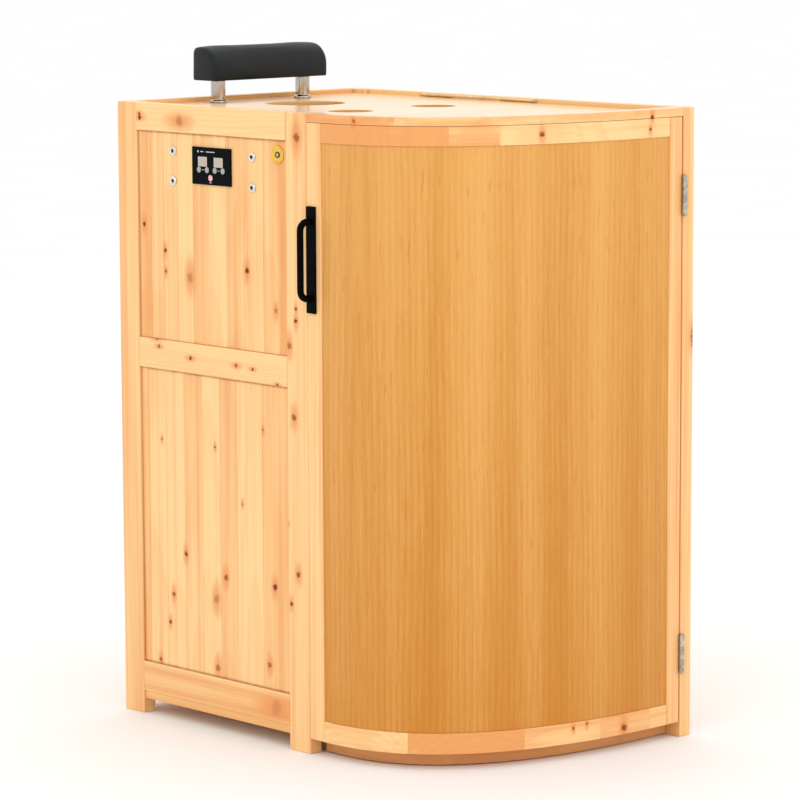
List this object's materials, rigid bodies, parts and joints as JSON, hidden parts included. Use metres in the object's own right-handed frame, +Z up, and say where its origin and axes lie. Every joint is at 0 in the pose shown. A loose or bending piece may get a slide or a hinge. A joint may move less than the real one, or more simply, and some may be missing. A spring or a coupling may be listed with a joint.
{
  "type": "portable steam sauna",
  "caption": "Seated wooden steam cabinet with a bowed hinged door, turn-up lid with neck and hand holes, headrest, control panel and steam tank.",
  "frame": {"origin": "on the floor, under the middle of the whole object's box", "axes": "+Z up; the bowed door faces -Y; the control panel is on the left wall, -X"},
  "size_m": [0.582, 0.8254, 1.139],
  "materials": {
    "pine": "clear satin lacquer",
    "lacquered_pine": "high gloss clear lacquer",
    "veneer": "satin wood veneer, vertical grain",
    "chrome": "polished",
    "steel": "brushed",
    "black_metal": "matte black powder coat",
    "black_glass": "glossy black",
    "leatherette": "black satin leatherette over foam",
    "grey_plastic": "satin grey",
    "pink_plastic": "satin pale pink",
    "brass": "satin",
    "dark_plastic": "satin black"
  },
  "bodies": {
    "cabinet": {"back_bottom_rail": "pine", "back_panel": "pine", "back_top_rail": "pine", "control_fascia": "black_glass", "control_housing": "dark_plastic", "door_catch": "dark_plastic", "floor_board": "pine", "front_top_rail": "pine", "headrest_pad": "leatherette", "headrest_post_left": "chrome", "headrest_post_right": "chrome", "heating_element": "steel", "left_bottom_rail": "pine", "left_lower_panel": "pine", "left_mid_rail": "pine", "left_top_rail": "pine", "left_upper_panel": "pine", "lid_hinge_base": "brass", "lower_hinge_frame_leaf": "chrome", "lower_hinge_pin": "chrome", "panel_bolt_1": "chrome", "panel_bolt_2": "chrome", "panel_bolt_3": "chrome", "panel_bolt_4": "chrome", "plinth": "pine", "post_back_left": "pine", "post_back_right": "pine", "post_front_left": "pine", "post_front_right": "pine", "power_inlet": "dark_plastic", "rear_cover": "lacquered_pine", "right_bottom_rail": "pine", "right_panel": "pine", "right_top_rail": "pine", "seat_board": "pine", "seat_frame": "pine", "steam_nozzle": "dark_plastic", "steam_pipe": "steel", "steam_tank": "steel", "tank_lid": "steel", "upper_hinge_frame_leaf": "chrome", "upper_hinge_pin": "chrome", "wall_badge": "brass"},
    "door": {"door_left_stile": "pine", "door_right_stile": "pine", "door_bottom_rail": "pine", "door_top_rail": "pine", "door_skin": "veneer", "lower_hinge_door_leaf": "chrome", "upper_hinge_door_leaf": "chrome", "handle_plate": "black_metal", "handle_grip": "black_metal"},
    "lid": {"front_lid": "lacquered_pine", "lid_hinge_leaf": "brass"},
    "button_1": {"button_1": "grey_plastic"},
    "button_2": {"button_2": "grey_plastic"},
    "button_3": {"button_3": "grey_plastic"},
    "button_4": {"button_4": "grey_plastic"},
    "power_button": {"power_button": "pink_plastic"},
    "filler_cap": {"filler_cap": "dark_plastic"}
  },
  "joints": [
    {"name": "door_hinge", "type": "hinge", "parent": "cabinet", "child": "door", "pos_m": [0.2635, -0.4082, 0.5], "axis": [0, 0, 1], "range_deg": [0, 170]},
    {"name": "lid_hinge", "type": "hinge", "parent": "cabinet", "child": "lid", "pos_m": [0.27, 0.2317, 1.046], "axis": [0, 1, 0], "range_deg": [0, 100]},
    {"name": "button_1_press", "type": "slide", "parent": "cabinet", "child": "button_1", "axis": [1, 0, 0], "range_m": [0, 0.0008], "stiffness_N_per_m": 400},
    {"name": "button_2_press", "type": "slide", "parent": "cabinet", "child": "button_2", "axis": [1, 0, 0], "range_m": [0, 0.0008], "stiffness_N_per_m": 400},
    {"name": "button_3_press", "type": "slide", "parent": "cabinet", "child": "button_3", "axis": [1, 0, 0], "range_m": [0, 0.0008], "stiffness_N_per_m": 400},
    {"name": "button_4_press", "type": "slide", "parent": "cabinet", "child": "button_4", "axis": [1, 0, 0], "range_m": [0, 0.0008], "stiffness_N_per_m": 400},
    {"name": "power_button_press", "type": "slide", "parent": "cabinet", "child": "power_button", "axis": [1, 0, 0], "range_m": [0, 0.0008], "stiffness_N_per_m": 400},
    {"name": "filler_cap_flip", "type": "hinge", "parent": "cabinet", "child": "filler_cap", "pos_m": [0.0855, 0.2327, 0.2103], "axis": [-1, 0, 0], "range_deg": [0, 110]}
  ]
}
